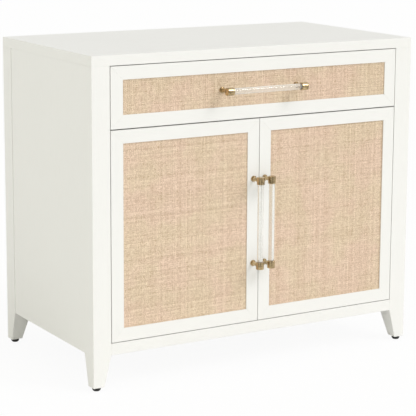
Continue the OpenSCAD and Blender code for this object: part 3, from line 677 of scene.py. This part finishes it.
def strand_grids(low, high, upright, settings, chance):
    """One set of parallel strands of a plain weave: points, faces, strand coordinates and tints.

    Strand i lies i + 1/2 pitches across the panel. At distance d along it, it stands
    swing * sin(pi * d / pitch + pi * i) off the middle of the cloth, over one crossing strand and under
    the next, and the other set is the other way round. Its edges lie half a width beside a line that
    wanders as two slow sine waves, and its middle stands a crown higher than its edges.

    Its tint, from 0 dark to 1 light, is plain_tint, plus own_tint times a number of its own that fades in
    and out along it, plus tint_drift times a slow wave, plus fleck_tint times a number of each point's
    own.
    """
    swing, crown, wander = 0.28 * MM, 0.24 * MM, 0.11 * MM
    uneven, swelling = 0.13, 0.08       # of the width, from strand to strand and along one strand
    plain_tint, own_tint, tint_drift, fleck_tint = 0.55, 0.15, 0.06, 0.20
    fading, fleck_share = 0.6, 0.7
    own_streaks = 37.0                  # how far neighbouring strands lie apart in the streaks
    run, side = (2, 0) if upright else (0, 2)
    span = high - low
    count = round(span[side] / settings.pitch)
    crossings = round(span[run] / settings.pitch)
    side_pitch, run_pitch = span[side] / count, span[run] / crossings
    strand = np.arange(count)[:, None]
    half_step = np.arange(2 * crossings + 1)[None, :]
    distance = half_step * run_pitch / 2
    phase = chance.uniform(0, 2 * math.pi, (5, count, 1))
    length = chance.uniform(0.7, 1.4, (5, count, 1))

    def waves(number, wavelength):
        return np.sin(2 * math.pi * distance / (wavelength * length[number]) + phase[number])

    drift = wander * (waves(0, 34 * MM) + waves(1, 13 * MM)) / 2
    middle = low[side] + (strand + 0.5) * side_pitch + drift
    own_width = uneven * chance.standard_normal((count, 1)).clip(-2, 2)
    half_width = settings.strand_width * (1 + own_width + swelling * waves(2, 21 * MM)) / 2
    over = (-1.0) ** strand * np.sin(math.pi * half_step / 2) * (1 if upright else -1)
    cloth = (low[1] + high[1]) / 2
    points = np.zeros((count, half_step.size, 3, 3))
    across = np.array([-1.0, 0.0, 1.0])
    points[..., side] = middle[..., None] + half_width[..., None] * across
    points[..., run] = (low[run] + distance)[..., None]
    points[..., 1] = cloth - swing * over[..., None] - crown * (1 - np.abs(across))
    quads = grid_faces(half_step.size, 3)
    if upright:
        quads = quads[:, ::-1]
    quads = (quads[None] + (np.arange(count) * half_step.size * 3)[:, None, None]).reshape(-1, 4)
    strand_uv = np.zeros(points.shape[:3] + (2,))
    strand_uv[..., 0] = (distance / run_pitch + own_streaks * strand)[..., None]
    strand_uv[..., 1] = (across + 1) / 2
    fleck = chance.standard_normal((count, half_step.size)).clip(-2, 2)
    fleck[:, 1:] = fleck_share * (fleck[:, 1:] + fleck[:, :-1])
    shade = chance.standard_normal((count, 1)).clip(-2, 2) * (1 + fading * waves(3, 50 * MM))
    tint = plain_tint + own_tint * shade + tint_drift * waves(4, 16 * MM) + fleck_tint * fleck
    tint = np.repeat(tint[..., None], 3, axis=2)
    return points.reshape(-1, 3), quads, strand_uv.reshape(-1, 2), tint.ravel()


def strand_mesh(name, points, quads, strand_uv, tint):
    """The strands' mesh with its strand UV map and tint attribute."""
    mesh = new_mesh(name, points, quads)
    layer = mesh.uv_layers.new(name="strand")
    layer.data.foreach_set("uv", strand_uv[quads.ravel()].astype(np.float32).ravel())
    mesh.attributes.new("tint", "FLOAT", "POINT").data.foreach_set("value", tint.astype(np.float32))
    return mesh


# ---- Pulls, glides, screws ----

def pull_end(settings, span, cap_radius, bore_radius, axis_y, foot_y):
    """One brass end about the pull's own z: cap, neck and base. The cap is a turned cup whose mouth
    takes the rod; the neck and base are one turned shape whose own axis points out of the front."""
    into_cap = 1.2 * MM
    mouth_edge, rim_edge, nose_edge = 0.3 * MM, 0.6 * MM, 1.4 * MM
    seat_edge, base_edge, neck_fillet = 0.1 * MM, 0.6 * MM, 0.8 * MM
    half = settings.cap_length / 2
    floor = settings.cap_bore - half
    cap = turned(rounded(
        [(0, floor), (bore_radius, floor), (bore_radius, -half), (cap_radius, -half),
         (cap_radius, half), (0, half)],
        [0, mouth_edge, rim_edge, nose_edge]))
    reach = foot_y - axis_y - cap_radius + into_cap
    foot = turned(rounded(
        [(0, 0), (settings.base_radius, 0), (settings.base_radius, settings.base_thickness),
         (settings.neck_radius, settings.base_thickness), (settings.neck_radius, reach), (0, reach)],
        [seat_edge, base_edge, neck_fillet, 0]), steps=FOOT_STEPS)
    outwards = ((1, 0, 0), (0, 0, 1), (0, -1, 0))
    return joined([moved(cap, np.eye(3), (0, axis_y, span)),
                   moved(foot, outwards, (0, foot_y, span))])


def screw_surface(head, thick, shank, length):
    """A pan-head screw about z, its head's seat at 0: rings round z, from the tip up to the crown.

    The head of radius R and thickness t is a low dome, h = t (1 - (r / R)^2 / 2), above a small rim,
    less a cross. The cross's arms are R / 5 wide at the bottom and twice that at the top, and they end
    between a half and two thirds of R.
    """
    arm, arm_end, cross_depth, rim_height = 0.1 * head, 0.17 * head, 0.6 * thick, 0.35 * thick
    angle = np.linspace(0, 2 * math.pi, SCREW_STEPS, endpoint=False)[None, :]
    ring = head * np.array([1, 1, 0.97, 0.88, 0.72, 0.6, 0.48, 0.36, 0.24, 0.12, 0])[:, None]
    dome = thick * (1 - 0.5 * (ring / head) ** 2)
    dome[0], dome[1] = 0, rim_height
    x, y = ring * np.cos(angle), ring * np.sin(angle)
    inner, outer = np.minimum(np.abs(x), np.abs(y)), np.maximum(np.abs(x), np.abs(y))
    cross = np.clip(2 - inner / arm, 0, 1) * np.clip(4 - outer / arm_end, 0, 1)
    dome = dome - cross_depth * cross
    dome[-1] = dome[-1].mean()
    tail = np.array([(0, -length), (0.5 * shank, -length), (shank, 2 * shank - length),
                     (shank, 0)])[:, :, None]
    rows = np.concatenate([np.stack((tail[:, 0] * np.cos(angle), tail[:, 0] * np.sin(angle),
                                     tail[:, 1] + 0 * angle), axis=-1),
                           np.stack((x, y, dome), axis=-1)])
    return rows.reshape(-1, 3), grid_faces(len(rows), SCREW_STEPS, around=True)


def screw_shape(points):
    """A cross-headed screw in the place of a plain one, its sizes found from the plain one's points.

    Its axis is the longest side of their box, and the head is where the widest points lie. A plain pin,
    whose widest points run along most of it, gets a flush head as wide as itself.
    """
    flush_head = 0.3 * MM
    low, high = points.min(0), points.max(0)
    axis = int(np.argmax(high - low))
    others = [k for k in range(3) if k != axis]
    centre = (low + high) / 2
    radius = np.hypot(*(points[:, others] - centre[others]).T)
    head = radius.max()
    rim = points[radius > 0.98 * head, axis]
    headless = np.ptp(rim) > 0.5 * (high - low)[axis]
    up = 1 if headless or rim.mean() > centre[axis] else -1
    top, tip = (high[axis], low[axis]) if up > 0 else (low[axis], high[axis])
    seat = top - flush_head if headless else (rim.min() if up > 0 else rim.max())
    thick = abs(top - seat)
    shank = head if headless else radius[np.abs(points[:, axis] - seat) > 1.5 * thick].max()
    out = np.zeros(3)
    out[axis] = up
    side = np.zeros(3)
    side[others[0]] = 1
    centre[axis] = seat
    return moved(screw_surface(head, thick, shank, abs(seat - tip)),
                 (side, np.cross(out, side), out), centre)


# ---- Operators ----

class CABINET_OT_stage(bpy.types.Operator):
    """Lays the floor and sets up the soft light and the camera"""
    bl_idname = "cabinet.stage"
    bl_label = "Stage"

    def execute(self, context):
        stage, scene = context.scene.cabinet_stage, context.scene
        scene.view_settings.view_transform = "Standard"
        reach, patches_per_metre = 300.0, 0.55
        ground = np.array([(-reach, -reach, 0), (reach, -reach, 0), (reach, reach, 0),
                           (-reach, reach, 0)])
        mesh = new_mesh("floor", ground, np.array([[0, 1, 2, 3]]))
        pale, tree, shader = bare_finish(
            "Pale floor", {"Roughness": 0.9, "Specular IOR Level": 0.1,
                           "Base Color": (0.86, 0.86, 0.85, 1)})
        glow = add(tree, "ShaderNodeEmission", {"Color": (1, 1, 1, 1), "Strength": 1.0})
        ray = tree.nodes.new("ShaderNodeLightPath").outputs
        place = tree.nodes.new("ShaderNodeTexCoord").outputs["Object"]
        dark = self.dark_room(tree, ray, place, noise(tree, place, patches_per_metre, 1), stage)
        share = sums(tree, "MULTIPLY", ray["Is Camera Ray"], stage.floor_glow)
        lit = add(tree, "ShaderNodeMixShader", {0: share, 1: shader.outputs[0], 2: glow.outputs[0]})
        unlit = add(tree, "ShaderNodeEmission", {"Color": (0, 0, 0, 1), "Strength": 0.0})
        both = add(tree, "ShaderNodeMixShader", {0: dark, 1: lit.outputs[0], 2: unlit.outputs[0]})
        tree.links.new(both.outputs[0], tree.nodes["Material Output"].inputs["Surface"])
        floor = bpy.data.objects.new("floor", mesh)
        scene.collection.objects.link(floor)
        mesh.materials.append(pale)
        self.sky(scene, stage)
        for light, (towards, width) in LIGHTS.items():
            self.sun(scene, light + "_light", getattr(stage, light), towards, width)
        self.camera(scene, stage)
        return {"FINISHED"}

    def dark_room(self, tree, ray, place, patches, stage):
        """The share of light that the darker parts of the room in front of the cabinet hold back
        from what polished things mirror."""
        none, full = 0.54, 0.44          # the patches' noise where they begin, and where they are full
        beside, in_front = 0.1, -0.3     # the same for y of the place or the direction
        ahead = add(tree, "ShaderNodeSeparateXYZ", {0: place}).outputs[1]
        patches = sums(tree, "MULTIPLY", band(tree, patches, none, full), stage.dark_room)
        patches = sums(tree, "MULTIPLY", patches, band(tree, ahead, beside, in_front))
        mirrored = sums(tree, "MAXIMUM", ray["Is Glossy Ray"], ray["Is Transmission Ray"])
        return sums(tree, "MULTIPLY", patches, mirrored)

    def sky(self, scene, stage):
        """A pale sky, a little warmer from the left, which the camera itself sees as white. Polished
        things mirror a room with darker parts in it."""
        world = bpy.data.worlds.new("Soft room")
        world.use_nodes = True
        tree = world.node_tree
        tree.nodes.clear()
        ray = tree.nodes.new("ShaderNodeLightPath").outputs
        patch_scale, left, right = 1.6, -0.5, 0.3    # right is where the warmth from the left ends
        towards = tree.nodes.new("ShaderNodeTexCoord").outputs["Generated"]
        dark = self.dark_room(tree, ray, towards, noise(tree, towards, patch_scale, 1), stage)
        lighting = sums(tree, "MULTIPLY", sums(tree, "SUBTRACT", 1.0, dark), stage.sky)
        strength = add(tree, "ShaderNodeMix", {0: ray["Is Camera Ray"], 2: lighting, 3: 1.0},
                       data_type="FLOAT")
        across = add(tree, "ShaderNodeSeparateXYZ", {0: towards}).outputs[0]
        warm, white = (1, 0.99, 1 - stage.warmth, 1), (1, 1, 1, 1)
        colour = blend_colours(tree, band(tree, across, left, right), warm, white)
        light = add(tree, "ShaderNodeBackground",
                    {"Color": colour, "Strength": strength.outputs[0]})
        add(tree, "ShaderNodeOutputWorld", {"Surface": light.outputs[0]})
        scene.world = world

    def sun(self, scene, name, strength, towards, width):
        """A far light that shines from the direction towards and looks width degrees wide."""
        lamp = bpy.data.lights.new(name, "SUN")
        lamp.energy, lamp.angle = strength, math.radians(width)
        made = bpy.data.objects.new(name, lamp)
        scene.collection.objects.link(made)
        back = np.array(towards) / np.linalg.norm(towards)
        side = np.cross((0, 0, 1), back)
        side /= np.linalg.norm(side)
        made.matrix_world = axes_matrix(side, np.cross(back, side), back, 3 * back)

    def camera(self, scene, stage):
        """The camera, its axes from turn, tilt and roll."""
        turn, tilt, roll = stage.turn, stage.tilt, stage.roll
        forward = np.array((math.sin(turn) * math.cos(tilt), math.cos(turn) * math.cos(tilt),
                            -math.sin(tilt)))
        level = np.array((math.cos(turn), -math.sin(turn), 0))
        upright = np.cross(level, forward)
        right = math.cos(roll) * level + math.sin(roll) * upright
        up = math.cos(roll) * upright - math.sin(roll) * level
        lens = bpy.data.cameras.new("camera")
        lens.sensor_width, lens.lens, lens.shift_y = FULL_FRAME, stage.lens, stage.shift
        nearest, farthest = 0.1, 900
        lens.clip_start, lens.clip_end = nearest, farthest
        made = bpy.data.objects.new("camera", lens)
        scene.collection.objects.link(made)
        made.matrix_world = axes_matrix(right, up, -forward, stage.camera_place)
        scene.camera = made


def axes_matrix(x, y, z, place):
    """The matrix of an object whose own axes point along x, y and z."""
    columns = np.column_stack((x, y, z, place))
    return Matrix(np.vstack((columns, (0, 0, 0, 1))).tolist())


class CABINET_OT_carcass(bpy.types.Operator):
    """Eases and paints the posts, panels, rails and shelf"""
    bl_idname = "cabinet.carcass"
    bl_label = "Carcass"

    def execute(self, context):
        paint = context.scene.cabinet_paint
        for node, grain in PAINTED_CARCASS.items():
            white = lacquer("White lacquer", paint.outside, OUTSIDE_ROUGHNESS, grain)
            eased(node, white, paint.easing)
        for node, grain in PAINTED_INSIDE.items():
            inside = lacquer("Inside lacquer", paint.inside, INSIDE_ROUGHNESS, grain)
            eased(node, inside, paint.easing)
        return {"FINISHED"}


class CABINET_OT_fronts(bpy.types.Operator):
    """Eases and paints the mitred frames of the doors and the drawer"""
    bl_idname = "cabinet.fronts"
    bl_label = "Mitred frames"

    def execute(self, context):
        paint = context.scene.cabinet_paint
        for node, grain in PAINTED_FRONTS.items():
            white = lacquer("White lacquer", paint.outside, OUTSIDE_ROUGHNESS, grain)
            eased(node, white, paint.front_easing)
        return {"FINISHED"}


class CABINET_OT_boards(bpy.types.Operator):
    """Finishes the drawer box, the back and the boards behind the raffia"""
    bl_idname = "cabinet.boards"
    bl_label = "Boards"

    def execute(self, context):
        paint, raffia = context.scene.cabinet_paint, context.scene.cabinet_raffia
        for node, grain in BIRCH_BOARDS.items():
            eased(node, birch(grain), paint.easing)
        for node in RAFFIA_BOARDS:
            board = frame["nodes"][node].data
            board.materials.clear()
            board.materials.append(backing_board(raffia.backing))
        return {"FINISHED"}


class CABINET_OT_raffia(bpy.types.Operator):
    """Weaves the upright and level strands of the three raffia panels"""
    bl_idname = "cabinet.raffia"
    bl_label = "Raffia"

    def execute(self, context):
        settings = context.scene.cabinet_raffia
        chance = np.random.default_rng(settings.seed)
        fibre = raffia_fibre(settings)
        for body, node in RAFFIA_PANELS.items():
            low, high = np.array(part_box(node))
            for upright, way in ((True, "upright"), (False, "level")):
                name = f"{body}_raffia_{way}_strands"
                mesh = strand_mesh(name, *strand_grids(low, high, upright, settings, chance))
                show(name, mesh, body, fibre, (node,))
        return {"FINISHED"}


class CABINET_OT_pulls(bpy.types.Operator):
    """Turns the brass ends of the pulls and their clear rods"""
    bl_idname = "cabinet.pulls"
    bl_label = "Pulls"

    def execute(self, context):
        settings = context.scene.cabinet_pulls
        for body, pull in PULLS.items():
            low, high = np.array(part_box(pull + "_rod"))
            run = int(np.argmax(high - low))
            axes = np.eye(3) if run == 2 else np.array(((0, 0, -1), (0, 1, 0), (1, 0, 0)))
            self.brass_ends(settings, body, pull, run, axes, (high - low)[1] / 2, (low + high)[1] / 2)
            self.clear_rod(body, pull, run, axes, low, high)
        return {"FINISHED"}

    def brass_ends(self, settings, body, pull, run, axes, rod_radius, rod_y):
        """Both ends of a pull as one piece; the second is the first turned half round about y."""
        low, high = np.array(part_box(pull + "_ends"))
        centre = (low + high) / 2
        centre[1] = 0
        span = (high - low)[run] / 2 - settings.cap_length / 2
        end = pull_end(settings, span, (high - low)[2 - run] / 2, rod_radius, rod_y, high[1])
        flipped = moved(end, np.diag((-1.0, 1.0, -1.0)), (0, 0, 0))
        mesh = closed_mesh(pull + "_brass", [moved(one, axes, centre) for one in (end, flipped)])
        brass = metal("Aged brass", settings.brass, settings.tarnish, amount=0.6, roughness=0.20,
                      across="XYZ"[run])
        show(pull + "_brass", mesh, body, brass, (pull + "_ends",))

    def clear_rod(self, body, pull, run, axes, low, high):
        """The rod between the ends, a little smaller than its bores. Acrylic passes most light on, and
        a shadow under it would be too dark, so it holds back none."""
        clearance, rounding = 0.1 * MM, 0.4 * MM
        clear = plastic("Clear acrylic", (0.97, 0.97, 0.955, 1), roughness=0.015, smudges=0.05,
                        relief=0.004 * MM, constants={"Transmission Weight": 0.84, "IOR": 1.49})
        half, r = (high - low)[run] / 2 - clearance, (high - low)[1] / 2 - clearance
        rod = turned(rounded([(0, -half), (r, -half), (r, half), (0, half)], [rounding, rounding]))
        mesh = closed_mesh(pull + "_clear_rod", [moved(rod, axes, (low + high) / 2)])
        shown = show(pull + "_clear_rod", mesh, body, clear, (pull + "_rod",))
        shown.visible_shadow = shown.visible_diffuse = False


class CABINET_OT_glides(bpy.types.Operator):
    """Turns the four domed foot glides"""
    bl_idname = "cabinet.glides"
    bl_label = "Foot glides"

    def execute(self, context):
        parts = []
        for points in solids_of("foot_glides"):
            low, high = points.min(0), points.max(0)
            r, tall = (high - low)[0] / 2, high[2] - low[2]
            recess_r, recess_top, sole_r, shoulder = 0.36 * r, 0.4 * tall, 0.72 * r, 0.42 * tall
            recess_edge, sole_edge, shoulder_edge, top_edge = 0.5 * MM, 1.4 * MM, 1.6 * MM, 0.4 * MM
            glide = turned(rounded(
                [(0, recess_top), (recess_r, recess_top), (recess_r, 0), (sole_r, 0),
                 (r, shoulder), (r, tall), (0, tall)],
                [0, recess_edge, sole_edge, shoulder_edge, top_edge]), steps=FOOT_STEPS)
            parts.append(moved(glide, np.eye(3), ((low + high)[0] / 2, (low + high)[1] / 2, low[2])))
        black = plastic("Black glide", context.scene.cabinet_hardware.glide, roughness=0.38,
                        smudges=0.25, relief=0.04 * MM, constants={})
        show("turned_glides", closed_mesh("turned_glides", parts), "cabinet", black,
             ("foot_glides",))
        return {"FINISHED"}


class CABINET_OT_slides(bpy.types.Operator):
    """Finishes the drawer slides and their ball cages"""
    bl_idname = "cabinet.slides"
    bl_label = "Slides"

    def execute(self, context):
        hardware = context.scene.cabinet_hardware
        for node in SLIDE_PARTS:
            eased(node, zinc("Y"), hardware.easing)
        for node in BALL_CAGES:
            eased(node, zinc("Y"), 0)
        return {"FINISHED"}


class CABINET_OT_hinges(bpy.types.Operator):
    """Finishes the hinges, strike plates and shelf pins"""
    bl_idname = "cabinet.hinges"
    bl_label = "Hinges and pins"

    def execute(self, context):
        for node in HINGES_AND_PINS:
            eased(node, zinc("Z"), 0)
        return {"FINISHED"}


class CABINET_OT_catch(bpy.types.Operator):
    """Finishes the door catch and sets its two steel-faced magnets"""
    bl_idname = "cabinet.catch"
    bl_label = "Catch"

    def execute(self, context):
        hardware = context.scene.cabinet_hardware
        white = plastic("White catch", hardware.catch, roughness=0.45, smudges=0.2,
                        relief=0.04 * MM, constants={})
        eased("magnetic_catch", white, 2 * hardware.easing)
        low, high = np.array(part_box("magnetic_catch"))
        middle = (low + high) / 2
        half_width, margin, thick, off_middle, set_back = 5 * MM, 4 * MM, 0.8 * MM, 9 * MM, 1 * MM
        face = self.plate(half_width, (high - low)[2] / 2 - margin, thick)
        outwards = ((1, 0, 0), (0, 0, 1), (0, -1, 0))
        parts = [moved(face, outwards, (middle[0] + side * off_middle, low[1] + set_back, middle[2]))
                 for side in (-1, 1)]
        show("catch_magnets", closed_mesh("catch_magnets", parts), "cabinet", zinc("Z"))
        return {"FINISHED"}

    def plate(self, half_x, half_y, thick):
        """A plate with round corners: the profile (s, h) is carried round the outline
        x = half_x * sign(cos a) |cos a|^k, y = half_y * sign(sin a) |sin a|^k, scaled by s."""
        k = 0.2
        angle = np.linspace(0, 2 * math.pi, FOOT_STEPS, endpoint=False)[None, :]
        x = half_x * np.sign(np.cos(angle)) * np.abs(np.cos(angle)) ** k
        y = half_y * np.sign(np.sin(angle)) * np.abs(np.sin(angle)) ** k
        profile = rounded([(0, 0), (1, 0), (1, thick), (0, thick)], [0, thick / 3])
        share, height = profile.T[:, :, None]
        points = np.stack((share * x, share * y, height + 0 * angle), axis=-1)
        return points.reshape(-1, 3), grid_faces(len(profile), angle.size, around=True)


class CABINET_OT_screws(bpy.types.Operator):
    """Puts a cross-headed screw in the place of every plain one"""
    bl_idname = "cabinet.screws"
    bl_label = "Screws"

    def execute(self, context):
        for node in SCREW_SETS:
            body = frame["nodes"][node]["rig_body"]
            name = "cross_head_" + node
            parts = [screw_shape(points) for points in solids_of(node)]
            show(name, closed_mesh(name, parts), body, zinc("Z"), (node,))
        return {"FINISHED"}


OPERATORS = (
    CABINET_OT_stage, CABINET_OT_carcass, CABINET_OT_fronts, CABINET_OT_boards, CABINET_OT_raffia,
    CABINET_OT_pulls, CABINET_OT_glides, CABINET_OT_slides, CABINET_OT_hinges, CABINET_OT_catch,
    CABINET_OT_screws,
)


class CABINET_PT_panel(bpy.types.Panel):
    """The cabinet's settings and its pieces, in the order they are made"""
    bl_idname = "CABINET_PT_panel"
    bl_label = "Cabinet"
    bl_space_type = "VIEW_3D"
    bl_region_type = "UI"
    bl_category = "Cabinet"

    def draw(self, context):
        for group, kind in GROUPS.items():
            box = self.layout.box()
            box.label(text=kind.__name__.replace("Cabinet", ""))
            for prop in kind.__annotations__:
                box.prop(getattr(context.scene, group), prop)
        for operator in OPERATORS:
            self.layout.operator(operator.bl_idname)


def register():
    """Registers the classes and gives the scene its settings."""
    for kind in (*GROUPS.values(), *OPERATORS, CABINET_PT_panel):
        bpy.utils.register_class(kind)
    for name, kind in GROUPS.items():
        setattr(bpy.types.Scene, name, PointerProperty(type=kind))


def unregister():
    """Takes the settings and the classes away again."""
    for name in GROUPS:
        delattr(bpy.types.Scene, name)
    for kind in (CABINET_PT_panel, *reversed(OPERATORS), *reversed(GROUPS.values())):
        bpy.utils.unregister_class(kind)


def main():
    """Builds everything in order."""
    register()
    bpy.ops.cabinet.stage()
    bpy.ops.cabinet.carcass()
    bpy.ops.cabinet.fronts()
    bpy.ops.cabinet.boards()
    bpy.ops.cabinet.raffia()
    bpy.ops.cabinet.pulls()
    bpy.ops.cabinet.glides()
    bpy.ops.cabinet.slides()
    bpy.ops.cabinet.hinges()
    bpy.ops.cabinet.catch()
    bpy.ops.cabinet.screws()


if __name__ == "__main__":
    main()
